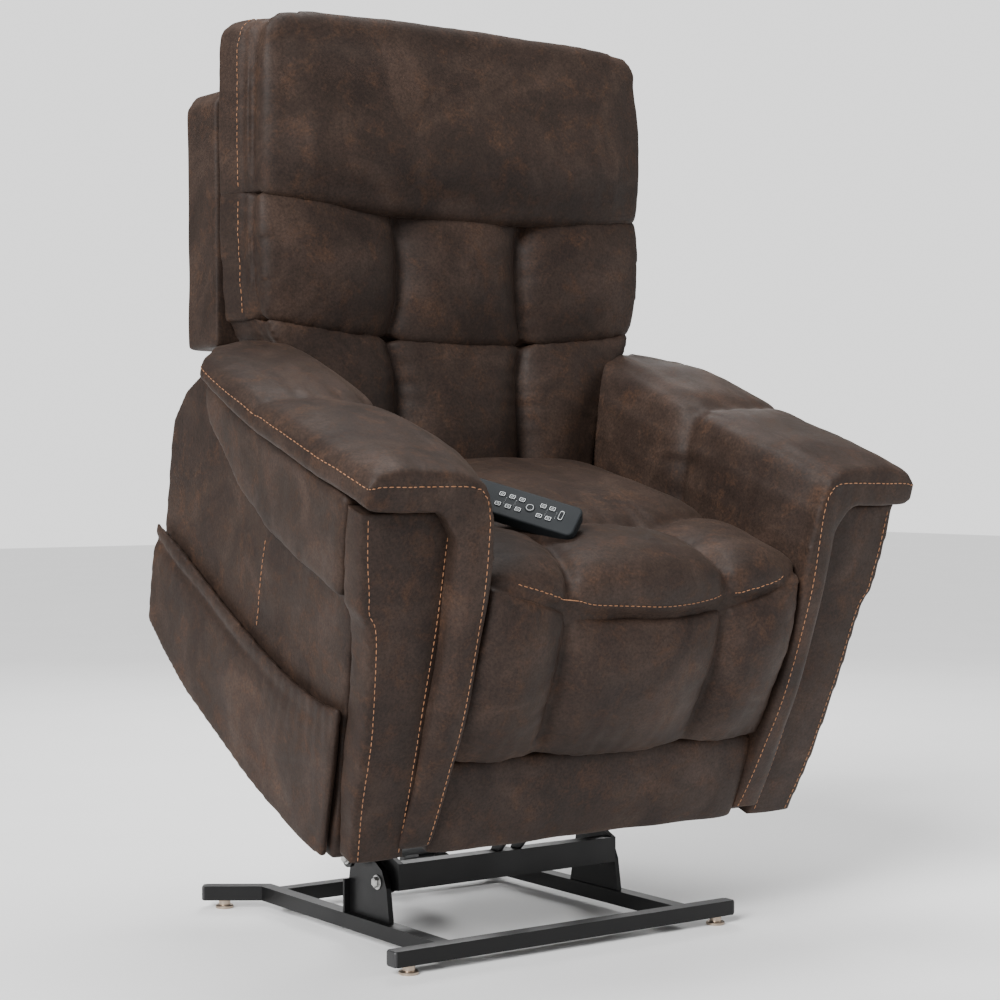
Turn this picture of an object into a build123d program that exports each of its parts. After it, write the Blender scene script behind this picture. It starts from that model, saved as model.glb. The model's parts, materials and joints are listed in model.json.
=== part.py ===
from build123d import *
import math
import os

os.makedirs("parts", exist_ok=True)

# A power lift recliner in its raised pose, in millimetres.
# +Z is up and the chair faces -Y. The sitter's left hand is at +X.
# The origin is on the floor, under the middle of the raised chair's box.
# Two sets of axes are used below:
#   ground(...)  the base and the back, measured from the front bar's front face
#   raised(...)  the seat and arms, drawn level and then tipped forward by TILT

# ---------------------------------------------------------------- driving sizes
TILT = 20.0  # forward tip of the seat in the raised pose, degrees
SHIFT_Y = -178.5  # from the front bar's face to the origin
GAP = 0.4  # air between pieces of different bodies

TUBE = 22.0  # base tube height
TUBE_DEPTH = 23.0
WALL = 2.0
FOOT_HEIGHT = 13.0
TUBE_TOP = FOOT_HEIGHT + TUBE
BASE_HALF = 300.0
RAIL_OUTER = 224.0
FOOT_X = 275.0

ARM_INNER = 270.0  # half of the seat's clear width
ARM_OUTER = 400.0
CAP_OUTER = 480.0
SEAT_HALF = 265.0
BACK_HALF = 365.0  # the back's wide upper part
BACK_NARROW = 262.0  # the back where it stands between the arms

# Pivots, as (y, z): ground axes
ARM_PIVOT = (190.0, 90.0)
LINK_PIVOT = (240.0, 120.0)
MOTOR_PIVOT = (455.0, 78.0)
CRANK_PIN = (138.6, 151.3)
# Pivots, as (y, z): level seat axes
ARM_END = (420.0, 204.0)
LINK_END = (550.0, 253.0)
BACK_HINGE = (560.0, 360.0)
BACK_LEVER_PIN = (535.0, 270.0)
BACK_MOTOR_PIN = (180.0, 330.0)
FOOT_HINGE = (110.0, 382.0)
FOOT_ELBOW = (105.0, 252.0)
FOOT_END = (100.0, 382.0)
FOOT_CRANK_PIN = (128.0, 340.0)
FOOT_MOTOR_PIN = (467.0, 325.0)

PIN = 6.0  # pivot pin radius
MOTOR_PIN = 5.0  # pin radius at the three drives
FIT = 0.05  # radial running clearance

# Planes of the flat links, as (low x, high x)
ARM_PLANE = (190.0, 198.0)
BRACKET_PLANE = (204.0, 212.0)
FOOT_EAR_PLANE = (199.0, 204.0)
UPPER_LINK_PLANE = (214.0, 220.0)
LINK_PLANE = (226.0, 232.0)
BOARD_EAR_PLANE = (233.0, 238.0)
CHASSIS_PLANE = (240.0, 246.0)
HANGER_PLANE = (214.0, 222.0)
HANGER_TOP = (425.0, 300.0)  # the lift arm's hanger joins the chassis here, clear of the rear link


# ---------------------------------------------------------------- helpers
def ground(shape):
    return Pos(0, SHIFT_Y, 0) * shape


def raised(shape):
    return Pos(0, SHIFT_Y, 0) * Rot(TILT, 0, 0) * shape


def tipped(point):
    """A (y, z) point of the level seat, in ground axes."""
    angle = math.radians(TILT)
    y, z = point
    return (
        y * math.cos(angle) - z * math.sin(angle),
        y * math.sin(angle) + z * math.cos(angle),
    )


def side_plate(points, low_x, high_x, radius=0.0):
    """A plate across the chair, from its side outline in (y, z)."""
    outline = make_face(Polyline(*points, close=True))
    if radius:
        outline = fillet(outline.vertices(), radius)
    return Pos(low_x, 0, 0) * extrude(Plane.YZ * outline, high_x - low_x)


def front_plate(points, low_y, high_y, radius=0.0):
    """A plate facing forward, from its front outline in (x, z)."""
    outline = make_face(Polyline(*points, close=True))
    if radius:
        outline = fillet(outline.vertices(), radius)
    return Pos(0, high_y, 0) * extrude(Plane.XZ * outline, high_y - low_y)


def flat_plate(points, low_z, high_z, radius=0.0):
    """A plate lying flat, from its plan outline in (x, y)."""
    outline = make_face(Polyline(*points, close=True))
    if radius:
        outline = fillet(outline.vertices(), radius)
    return Pos(0, 0, low_z) * extrude(outline, high_z - low_z)


def block(low, high, radius=0.0):
    size = [b - a for a, b in zip(low, high)]
    middle = [(a + b) / 2 for a, b in zip(low, high)]
    solid = Pos(*middle) * Box(*size)
    if radius:
        solid = fillet(solid.edges(), radius)
    return solid


def cross_pin(centre, low_x, high_x, radius):
    """A round bar along X through a (y, z) point."""
    bar = Cylinder(radius, high_x - low_x, align=(Align.CENTER, Align.CENTER, Align.MIN))
    return Pos(low_x, *centre) * Rot(0, 90, 0) * bar


def both_sides(solid):
    return [solid, mirror(solid, Plane.YZ)]


def plan_band(path, width):
    """Outline of a strip of constant width along a path in plan, with mitred bends."""
    left, right = [], []
    for i, (x, y) in enumerate(path):
        before = path[max(i - 1, 0)]
        after = path[min(i + 1, len(path) - 1)]
        heading_in = math.atan2(y - before[1], x - before[0]) if i else None
        heading_out = math.atan2(after[1] - y, after[0] - x) if i < len(path) - 1 else None
        heading_in = heading_out if heading_in is None else heading_in
        heading_out = heading_in if heading_out is None else heading_out
        middle = (heading_in + heading_out) / 2
        reach = width / 2 / math.cos((heading_out - heading_in) / 2)
        left.append((x - reach * math.sin(middle), y + reach * math.cos(middle)))
        right.append((x + reach * math.sin(middle), y - reach * math.cos(middle)))
    return left + right[::-1]


def write(name, *solids):
    shape = solids[0] if len(solids) == 1 else Compound(list(solids))
    shape.label = name
    export_step(shape, f"parts/{name}.step")
    box = shape.bounding_box()
    extent.append((box.min, box.max))


def write_pair(name, solid):
    """The sitter's left piece as drawn, and its mirror on the right."""
    left, right = both_sides(solid)
    write(f"{name}_left", left)
    write(f"{name}_right", right)


extent = []


# ---------------------------------------------------------------- base
def hollow_bar(low, high, axis):
    """A square tube with open ends along one axis."""
    inner_low = [a + (0 if i == axis else WALL) for i, a in enumerate(low)]
    inner_high = [b - (0 if i == axis else WALL) for i, b in enumerate(high)]
    return block(low, high) - block(inner_low, inner_high)


def front_crossbar():
    return hollow_bar((-BASE_HALF, 0, FOOT_HEIGHT), (BASE_HALF, TUBE_DEPTH, TUBE_TOP), 0)


REAR_BAR_Y = (467.0, 490.0)


def rear_crossbar():
    reach = RAIL_OUTER - TUBE_DEPTH
    low = (-reach, REAR_BAR_Y[0], FOOT_HEIGHT)
    return hollow_bar(low, (reach, REAR_BAR_Y[1], TUBE_TOP), 0)


def side_rail():
    middle = RAIL_OUTER - TUBE_DEPTH / 2
    bend = (middle, 512.0)
    leg = 95.0
    heading = math.radians(35.0)
    end = (bend[0] + leg * math.cos(heading), bend[1] + leg * math.sin(heading))
    path = [(middle, TUBE_DEPTH), bend, end]
    outer = flat_plate(plan_band(path, TUBE_DEPTH), FOOT_HEIGHT, TUBE_TOP)
    inner_path = [(middle, TUBE_DEPTH - 1), bend, (end[0] + 1, end[1] + 1)]
    inner = flat_plate(
        plan_band(inner_path, TUBE_DEPTH - 2 * WALL), FOOT_HEIGHT + WALL, TUBE_TOP - WALL
    )
    return outer - inner


def lift_bracket():
    """The upright on the side rail that carries both lift pivots."""
    outline = [
        (158, TUBE_TOP),
        (166, 84),
        (178, 108),
        (224, 134),
        (240, 138),
        (256, 132),
        (262, 112),
        (277, TUBE_TOP),
    ]
    plate = side_plate(outline, *BRACKET_PLANE)
    lip = block((BRACKET_PLANE[1], 264, TUBE_TOP), (222, 268, 84))
    plate = plate + lip
    plate -= cross_pin(ARM_PIVOT, 180, 240, PIN)
    plate -= cross_pin(LINK_PIVOT, 180, 240, PIN)
    return plate


def levelling_feet():
    feet = []
    for x, y in ((FOOT_X, TUBE_DEPTH / 2), (266.0, 549.0)):
        pad = Cylinder(14, 5, align=(Align.CENTER, Align.CENTER, Align.MIN))
        pad = chamfer(pad.edges(), 1.2)
        neck = Pos(0, 0, 5) * Cylinder(
            9, FOOT_HEIGHT - 5, align=(Align.CENTER, Align.CENTER, Align.MIN)
        )
        feet += both_sides(Pos(x, y, 0) * (pad + neck))
    return feet


def base_clevis():
    """Two ears on the rear bar that hold the lift motor."""
    outline = [(467, TUBE_TOP), (488, TUBE_TOP), (476, 74), (466, 90), (448, 90), (444, 76)]
    ear = side_plate(outline, 15, 20)
    return ear + mirror(ear, Plane.YZ) + cross_pin(MOTOR_PIVOT, -22, 22, MOTOR_PIN)


def base_pins():
    pins = []
    for centre, low_x, high_x in (
        (ARM_PIVOT, ARM_PLANE[0] - 1, BRACKET_PLANE[1]),
        (LINK_PIVOT, BRACKET_PLANE[0], LINK_PLANE[1] + 1),
    ):
        pins += both_sides(cross_pin(centre, low_x, high_x, PIN))
    return pins


def build_base():
    write("front_crossbar", ground(front_crossbar()))
    write("rear_crossbar", ground(rear_crossbar() + base_clevis()))
    write_pair("side_rail", ground(side_rail()))
    write_pair("lift_bracket", ground(lift_bracket()))
    write("levelling_feet", *[ground(foot) for foot in levelling_feet()])
    write("base_pivot_pins", *[ground(pin) for pin in base_pins()])


# ---------------------------------------------------------------- lift linkage
BAR_SECTION = ((155.0, 81.0), (180.0, 119.0))  # torque bar, low and high (y, z)


def strap(start, end, plane, radius, hole_start=0.0, hole_end=0.0):
    """A flat link with round ends, and holes if asked, between two (y, z) pivots."""
    length = math.dist(start, end)
    heading = math.degrees(math.atan2(end[1] - start[1], end[0] - start[0]))
    outline = SlotCenterToCenter(length, 2 * radius)
    outline = Pos((start[0] + end[0]) / 2, (start[1] + end[1]) / 2) * Rot(0, 0, heading) * outline
    plate = Pos(plane[0], 0, 0) * extrude(Plane.YZ * outline, plane[1] - plane[0])
    for centre, hole in ((start, hole_start), (end, hole_end)):
        if hole:
            plate -= cross_pin(centre, plane[0] - 5, plane[1] + 5, hole)
    return plate


def lift_arm():
    plate = strap(ARM_PIVOT, tipped(ARM_END), ARM_PLANE, 18, PIN + FIT, PIN + FIT)
    (low_y, low_z), (high_y, high_z) = BAR_SECTION
    seat = side_plate(
        [(low_y, low_z), (low_y, high_z), (196, 136), (206, 112), (196, low_z - 6)],
        *ARM_PLANE,
    )
    return plate + seat - cross_pin(ARM_PIVOT, 150, 230, PIN + FIT)


def torque_bar():
    (low_y, low_z), (high_y, high_z) = BAR_SECTION
    low = (-ARM_PLANE[0], low_y, low_z)
    bar = hollow_bar(low, (ARM_PLANE[0], high_y, high_z), 0)
    ear = side_plate([(158, 119), (178, 119), (148, 162), (130, 160), (128, 146)], 15, 21)
    return bar + ear + mirror(ear, Plane.YZ) + cross_pin(CRANK_PIN, -21, 21, MOTOR_PIN)


OPEN_PIVOT = 1.5  # extra radius at the linkage's open pivot


def build_lift_linkage():
    write_pair("lift_arm", ground(lift_arm()))
    write("torque_bar", ground(torque_bar()))
    link = strap(LINK_PIVOT, tipped(LINK_END), LINK_PLANE, 14, PIN + FIT, PIN + OPEN_PIVOT)
    write("rear_links", *both_sides(ground(link)))


# ---------------------------------------------------------------- drives
class Drive:
    """A linear motor from one pin to another, drawn along its own Z axis."""

    rod_radius = 10.0
    tube_radius = 16.0
    eye_width = 22.0

    def __init__(self, start, end, x, body_length, rod_inside, open_radius):
        self.length = math.dist(start, end)
        heading = (0, end[0] - start[0], end[1] - start[1])
        self.plane = Plane(origin=(x, *start), x_dir=(1, 0, 0), z_dir=heading)
        self.body_length = body_length
        self.rod_inside = rod_inside
        self.open_radius = open_radius

    def eye(self, radius, hole):
        ring = Rot(0, 90, 0) * Cylinder(radius, self.eye_width)
        return ring, Rot(0, 90, 0) * Cylinder(hole, self.eye_width + 10)

    def housing(self):
        ring, hole = self.eye(13, MOTOR_PIN + FIT)
        stem = Pos(0, 0, 10) * Box(self.eye_width, 24, 14)
        tube = Pos(0, 0, 16) * Cylinder(
            self.tube_radius, self.body_length - 16, align=(Align.CENTER, Align.CENTER, Align.MIN)
        )
        motor = Pos(0, -34, 24) * Cylinder(
            20, 90, align=(Align.CENTER, Align.CENTER, Align.MIN)
        )
        neck = Pos(0, -18, 46) * Box(20, 34, 40)
        bore = Pos(0, 0, 50) * Cylinder(
            self.rod_radius + 2 * FIT,
            self.body_length,
            align=(Align.CENTER, Align.CENTER, Align.MIN),
        )
        return self.plane * (ring + stem + tube + motor + neck - bore - hole)

    def rod(self):
        ring, hole = self.eye(self.open_radius + 6, self.open_radius)
        start = self.body_length - self.rod_inside
        shaft = Pos(0, 0, start) * Cylinder(
            self.rod_radius,
            self.length - start - self.open_radius - 1,
            align=(Align.CENTER, Align.CENTER, Align.MIN),
        )
        return self.plane * (shaft + Pos(0, 0, self.length) * (ring - hole))


BACK_DRIVE_X = 70.0
FOOT_DRIVE_X = -70.0


def build_drives():
    lift = Drive(MOTOR_PIVOT, CRANK_PIN, 0, 222, 30, 12)
    back = Drive(BACK_MOTOR_PIN, BACK_LEVER_PIN, BACK_DRIVE_X, 250, 40, 12)
    foot = Drive(FOOT_MOTOR_PIN, FOOT_CRANK_PIN, FOOT_DRIVE_X, 245, 125, 18)
    write("lift_motor", ground(lift.housing()))
    write("lift_rod", ground(lift.rod()))
    write("back_motor", raised(back.housing()))
    write("back_rod", raised(back.rod()))
    write("footrest_motor", raised(foot.housing()))
    write("footrest_rod", raised(foot.rod()))


# ---------------------------------------------------------------- seat chassis
CROSS_TUBES = ((150.0, 378.0), (480.0, 350.0))
CROSS_RADIUS = 11.0
FOOT_TUBE_RADIUS = 9.0  # the tube that joins the footrest's upper links


def chassis_plate():
    outline = [
        (92, 402),
        (92, 360),
        (300, 335),
        (395, 188),
        (445, 184),
        (520, 232),
        (574, 232),
        (590, 300),
        (600, 402),
    ]
    plate = side_plate(outline, *CHASSIS_PLANE)
    plate += cross_pin(HANGER_TOP, HANGER_PLANE[0], CHASSIS_PLANE[0], 14)
    plate += strap(ARM_END, HANGER_TOP, HANGER_PLANE, 16, PIN)
    plate -= cross_pin(LINK_END, 200, 280, PIN)
    plate -= cross_pin(BACK_HINGE, 200, 280, PIN + 2)
    for centre in CROSS_TUBES:
        plate -= cross_pin(centre, 200, 280, CROSS_RADIUS)
    return plate


def chassis_pins():
    pins = []
    for centre, low_x, high_x, radius in (
        (ARM_END, ARM_PLANE[0] - 1, HANGER_PLANE[1], PIN),
        (LINK_END, LINK_PLANE[0] - 1, CHASSIS_PLANE[1], PIN),
        (BACK_HINGE, LINK_PLANE[0] - 1, CHASSIS_PLANE[1], PIN + 2),
    ):
        pins += both_sides(cross_pin(centre, low_x, high_x, radius))
    return pins


def cross_tubes():
    """The two cross tubes, with ears that hold each drive's fixed end."""
    tubes = [cross_pin(c, -ARM_INNER, ARM_INNER, CROSS_RADIUS) for c in CROSS_TUBES]
    for number, x, pin in ((0, BACK_DRIVE_X, BACK_MOTOR_PIN), (1, FOOT_DRIVE_X, FOOT_MOTOR_PIN)):
        for side in (-1, 1):
            plane = (x + side * 16 - 2.5, x + side * 16 + 2.5)
            tubes[number] += strap(CROSS_TUBES[number], pin, plane, 13)
        tubes[number] += cross_pin(pin, x - 18.5, x + 18.5, MOTOR_PIN)
    ear = strap(CROSS_TUBES[0], FOOT_HINGE, FOOT_EAR_PLANE, 14, 0, FOOT_TUBE_RADIUS + FIT)
    tubes[0] += ear + mirror(ear, Plane.YZ)
    return tubes


def seat_deck():
    return block((-246, 170, 402), (246, 520, 410))


def seat_cushion():
    outline = [
        (20, 519),
        (4, 545),
        (28, 572),
        (62, 579),
        (170, 568),
        (300, 564),
        (480, 545),
        (488, 412),
        (132, 412),
        (124, 519),
    ]
    return fillet(side_plate(outline, -SEAT_HALF, SEAT_HALF).edges().filter_by(Axis.X), 6)


def build_chassis():
    write_pair("chassis_plate", raised(chassis_plate()))
    write("chassis_cross_tubes", *[raised(tube) for tube in cross_tubes()])
    write("chassis_pins", *[raised(pin) for pin in chassis_pins()])
    write("seat_deck", raised(seat_deck()))
    write("seat_cushion", raised(seat_cushion()))


# ---------------------------------------------------------------- arms
def hem_line(rise):
    """The side's lower edge, rising to the rear."""
    return [
        (74, 150 + rise),
        (145, 146 + rise),
        (233, 151 + rise),
        (313, 163 + rise),
        (396, 178 + rise),
        (499, 196 + rise),
        (591, 224 + rise),
        (645, 250 + rise),
    ]


def side_panel():
    rear = [(657, 343), (672, 402), (691, 506), (703, 590), (690, 628), (660, 655), (98, 655)]
    board = side_plate(hem_line(0) + rear, 374, ARM_OUTER)
    wing = side_plate(
        [
            (90, 519),
            (270, 519),
            (354, 532),
            (454, 560),
            (537, 599),
            (566, 640),
            (560, 655),
            (98, 655),
        ],
        ARM_OUTER,
        450,
    )
    return board + wing


def pocket_panel():
    """The outer skin of the storage pocket, joined to the side at its rim."""
    hem = [(84, 154)] + hem_line(4)[1:]
    mouth = [
        (640, 396),
        (606, 391),
        (535, 380),
        (450, 368),
        (369, 359),
        (293, 353),
        (220, 351),
        (165, 353),
        (114, 360),
        (90, 369),
    ]
    skin = side_plate(hem + mouth, ARM_OUTER, 415)
    well_floor = [(100, 170)] + hem_line(20)[1:-1]
    well = side_plate(
        well_floor + [(625, 262), (625, 420), (100, 420)],
        ARM_OUTER - 1,
        409,
    )
    return skin - well


FRONT_LEAN = -3.0  # the arm's front leans back a little, degrees


def arm_front():
    outline = [
        (268, 0),
        (394, 0),
        (413, 100),
        (420, 200),
        (430, 330),
        (436, 348),
        (452, 366),
        (462, 400),
        (466, 495),
        (284, 495),
        (272, 300),
    ]
    slab = front_plate(outline, 0, 36)
    return Pos(0, 34, 162) * Rot(FRONT_LEAN, 0, 0) * slab


def arm_inner():
    outline = [(74, 196), (580, 245), (640, 420), (660, 600), (650, 655), (98, 655)]
    return side_plate(outline, ARM_INNER, 290)


def arm_cap():
    outline = [(280, 34), (470, 26), (480, 40), (480, 490), (455, 530), (395, 545), (320, 500), (292, 330)]
    return flat_plate(outline, 660, 712, 8)


def build_arms():
    write_pair("side_panel", raised(side_panel()))
    write_pair("pocket_panel", raised(pocket_panel()))
    write_pair("arm_front", raised(arm_front()))
    write_pair("arm_inner", raised(arm_inner()))
    write_pair("arm_cap", raised(arm_cap()))


# ---------------------------------------------------------------- back
SHOULDER = 872.0  # height where the back widens over the arms
BACK_BOTTOM = 602.0


def tee(low_y, high_y, wide_half, narrow_half, top, bottom=BACK_BOTTOM):
    """A back layer: wide above the arms and narrow between them."""
    outline = [
        (-narrow_half, bottom),
        (narrow_half, bottom),
        (narrow_half, SHOULDER),
        (wide_half, SHOULDER),
        (wide_half, top),
        (-wide_half, top),
        (-wide_half, SHOULDER),
        (-narrow_half, SHOULDER),
    ]
    return front_plate(outline, low_y, high_y)


def back_frame():
    board = tee(384, 397, 350, 236, 1215)
    hinge = tipped(BACK_HINGE)
    ear = side_plate(
        [(384, 660), (397, 660), (397, 598), (420, 545), (420, 522), (404, 512), (388, 520)],
        *LINK_PLANE,
    )
    ear -= cross_pin(hinge, 200, 260, PIN + 2 + FIT)
    frame = board + ear + mirror(ear, Plane.YZ)
    lever_pin = tipped(BACK_LEVER_PIN)
    for side in (-1, 1):
        x = BACK_DRIVE_X + side * 16
        lever = side_plate(
            [(384, 640), (397, 640), (397, 598), (422, 440), (418, 424), (402, 424), (396, 440)],
            x - 2.5,
            x + 2.5,
        )
        frame += lever
    return frame + cross_pin(lever_pin, BACK_DRIVE_X - 18.5, BACK_DRIVE_X + 18.5, MOTOR_PIN)


def back_cushion():
    return block((-BACK_HALF, 284, 880), (BACK_HALF, 376, 1072), 12)


def lumbar_cushion():
    outline = [(284, 862), (284, 712), (352, 694), (352, 608), (374, 608), (374, 862)]
    return side_plate(outline, -BACK_NARROW, BACK_NARROW)


def lumbar_plate():
    return block((-170, 374.5, 650), (170, 378, 840))


def back_shell():
    return tee(398, 480, BACK_HALF, BACK_NARROW, 1238)


HEAD_HINGE = (300.0, 1092.0)


def head_cushion():
    outline = [(266, 1106), (372, 1082), (372, 1330), (352, 1342), (290, 1342), (262, 1310)]
    return side_plate(outline, -BACK_HALF, BACK_HALF)


def head_plate():
    return block((-200, 372.5, 1110), (200, 376, 1210))


def build_back():
    write("back_frame", ground(back_frame()))
    write("back_shell", ground(back_shell()))
    write("back_cushion", ground(back_cushion()))
    write("lumbar_cushion", ground(lumbar_cushion()))
    write("lumbar_plate", ground(lumbar_plate()))
    write("head_cushion", ground(head_cushion()))
    write("head_plate", ground(head_plate()))


# ---------------------------------------------------------------- footrest
def drive_links():
    """The pair of upper links, joined by a tube with the motor's crank on it."""
    link = strap(FOOT_HINGE, FOOT_ELBOW, UPPER_LINK_PLANE, 10, 0, PIN + FIT)
    tube = cross_pin(FOOT_HINGE, -UPPER_LINK_PLANE[0], UPPER_LINK_PLANE[0], FOOT_TUBE_RADIUS)
    links = link + mirror(link, Plane.YZ) + tube
    for side in (-1, 1):
        x = FOOT_DRIVE_X + side * 16
        links += side_plate(
            [(104, 376), (119, 376), (136, 342), (130, 331), (120, 334)], x - 2.5, x + 2.5
        )
    return links + cross_pin(FOOT_CRANK_PIN, FOOT_DRIVE_X - 18.5, FOOT_DRIVE_X + 18.5, MOTOR_PIN)


def carry_links():
    link = strap(FOOT_ELBOW, FOOT_END, LINK_PLANE, 10, 0, PIN + FIT)
    pin = cross_pin(FOOT_ELBOW, UPPER_LINK_PLANE[0] - 1, LINK_PLANE[0], PIN)
    return both_sides(link + pin)


def footrest_board():
    board = block((-238, 73, 184), (238, 85, 500))
    ear = side_plate([(85, 350), (85, 414), (104, 394), (109, 382), (104, 370)], *BOARD_EAR_PLANE)
    stub = cross_pin(FOOT_END, LINK_PLANE[0] - 1, BOARD_EAR_PLANE[0], PIN)
    return board + ear + mirror(ear, Plane.YZ) + stub + mirror(stub, Plane.YZ)


def build_footrest():
    write("footrest_drive_links", raised(drive_links()))
    write("footrest_carry_links", *[raised(part) for part in carry_links()])
    write("footrest_board", raised(footrest_board()))
    upper = block((-SEAT_HALF, 14, 308), (SEAT_HALF, 72.8, 508), 10)
    lower = block((-SEAT_HALF, 24, 168), (SEAT_HALF, 72.8, 297), 8)
    write("footrest_upper_pad", raised(upper))
    write("footrest_lower_pad", raised(lower))


# ---------------------------------------------------------------- handset
HANDSET = (160.0, 50.0, 20.0)
HANDSET_OFFSET = -10.0  # the round key is nearer to one end
KEY_TRAVEL = 0.8
KEY_COLUMNS = (-44.0, -29.0, -14.5, 16.5, 30.0)
KEY_ROW = 8.6
SHELL = 2.0
SPLIT = 8.0  # height of the joint between the handset's two halves


def key_places():
    """Each key's name, place in the handset's own plan, and size."""
    keys = []
    for number, column in enumerate(KEY_COLUMNS, start=1):
        keys.append((f"key_{number:02d}_up", column, KEY_ROW, (9.0, 7.0)))
        keys.append((f"key_{number:02d}_down", column, -KEY_ROW, (9.0, 7.0)))
    keys.append(("key_home", 0.0, 0.0, (14.0, 14.0)))
    keys.append(("key_light", 45.0, 2.0, (7.0, 16.0)))
    return keys


HANDSET_PLACE = (
    Pos(0, SHIFT_Y, 0)
    * Rot(TILT, 0, 0)
    * Pos(-112.5, 168.5, 597.5)
    * Rot(0, 0, -53.5)
    * Rot(38.0, 0, 0)
)


def key_solid(size, grow=0.0):
    x, y = size
    if x == y:
        return Cylinder(x / 2 + grow, 6, align=(Align.CENTER, Align.CENTER, Align.MIN))
    return extrude(RectangleRounded(x + 2 * grow, y + 2 * grow, 2), 6)


def build_handset():
    length, width, height = HANDSET
    outline = Pos(HANDSET_OFFSET, 0) * RectangleRounded(length, width, 9)
    inside = Pos(HANDSET_OFFSET, 0) * RectangleRounded(length - 4, width - 4, 7)
    top = Pos(0, 0, SPLIT) * extrude(outline, height - SPLIT)
    top = fillet(top.edges().group_by(Axis.Z)[-1], 3)
    top -= Pos(0, 0, SPLIT) * extrude(inside, height - SPLIT - SHELL)
    tray = extrude(outline, SPLIT) - Pos(0, 0, SHELL) * extrude(inside, SPLIT)
    for name, x, y, size in key_places():
        hole = Pos(x, y, height - 5) * key_solid(size, 0.3)
        top -= hole
        key = Pos(x, y, height - 5) * key_solid(size)
        write(name, HANDSET_PLACE * key)
    write("handset_top", HANDSET_PLACE * top)
    write("handset_base", HANDSET_PLACE * tray)


build_base()
build_lift_linkage()
build_drives()
build_chassis()
build_arms()
build_back()
build_footrest()
build_handset()

low = [min(getattr(a, axis) for a, _ in extent) for axis in "XYZ"]
high = [max(getattr(b, axis) for _, b in extent) for axis in "XYZ"]
print("box", [round(v, 1) for v in low], [round(v, 1) for v in high])
print("nodes", len(extent))
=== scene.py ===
import json
import math

import bmesh
import bpy
import numpy as np
from mathutils import Matrix, Vector
from mathutils.bvhtree import BVHTree


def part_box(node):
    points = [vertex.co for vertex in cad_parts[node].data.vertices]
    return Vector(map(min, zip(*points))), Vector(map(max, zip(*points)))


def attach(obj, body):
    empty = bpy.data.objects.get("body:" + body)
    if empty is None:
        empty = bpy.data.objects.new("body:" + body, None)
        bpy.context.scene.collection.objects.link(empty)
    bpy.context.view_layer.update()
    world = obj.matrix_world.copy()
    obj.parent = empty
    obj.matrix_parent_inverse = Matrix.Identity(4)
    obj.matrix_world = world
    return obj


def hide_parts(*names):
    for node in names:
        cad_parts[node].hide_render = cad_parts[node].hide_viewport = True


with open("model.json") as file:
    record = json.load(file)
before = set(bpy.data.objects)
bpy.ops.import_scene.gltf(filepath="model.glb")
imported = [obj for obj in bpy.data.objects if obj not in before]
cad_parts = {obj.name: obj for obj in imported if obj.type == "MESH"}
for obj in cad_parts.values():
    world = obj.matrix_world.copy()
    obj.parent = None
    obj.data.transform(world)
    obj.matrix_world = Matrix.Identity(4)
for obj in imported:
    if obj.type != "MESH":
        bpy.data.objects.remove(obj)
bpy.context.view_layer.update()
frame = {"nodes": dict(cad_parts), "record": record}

# Lengths in metres. Two sets of axes, as in the CAD model:
#   ground: x across, y back from the front bar's face, z up (the base and the back)
#   seat:   x across, v back, w up, level in the seat and tipped with it
SHIFT = -0.1785
TIP = math.radians(20.0)
COS, SIN = math.cos(TIP), math.sin(TIP)
X, Y, Z = 0, 1, 2
V, W = Y, Z


def seat(points):
    x, v, w = np.array(points, float).reshape(-1, 3).T
    return np.stack([x, v * COS - w * SIN + SHIFT, v * SIN + w * COS], 1)


def ground(points):
    return np.array(points, float).reshape(-1, 3) + (0, SHIFT, 0)


# ---------------------------------------------------------------- materials
def new_material(name):
    mat = bpy.data.materials.new(name)
    mat.use_nodes = True
    nodes, links = mat.node_tree.nodes, mat.node_tree.links
    shader = nodes["Principled BSDF"]

    def node(kind, inputs=None, **settings):
        made = nodes.new("ShaderNode" + kind)
        for key, value in settings.items():
            setattr(made, key, value)
        for key, value in (inputs or {}).items():
            if hasattr(value, "is_output"):
                links.new(value, made.inputs[key])
            else:
                made.inputs[key].default_value = value
        return made

    def join(output, key):
        links.new(output, shader.inputs[key])

    return mat, node, join, shader


def ramp(node, factor, *stops):
    """A colour ramp. A stop's colour has three numbers, or one for grey."""
    made = node("ValToRGB", {"Fac": factor})
    elements = made.color_ramp.elements
    while len(elements) < len(stops):
        elements.new(0.5)
    for element, (position, colour) in zip(elements, stops):
        element.position = position
        element.color = (*colour, 1) if len(colour) == 3 else (colour[0],) * 3 + (1,)
    return made.outputs["Color"]


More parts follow.
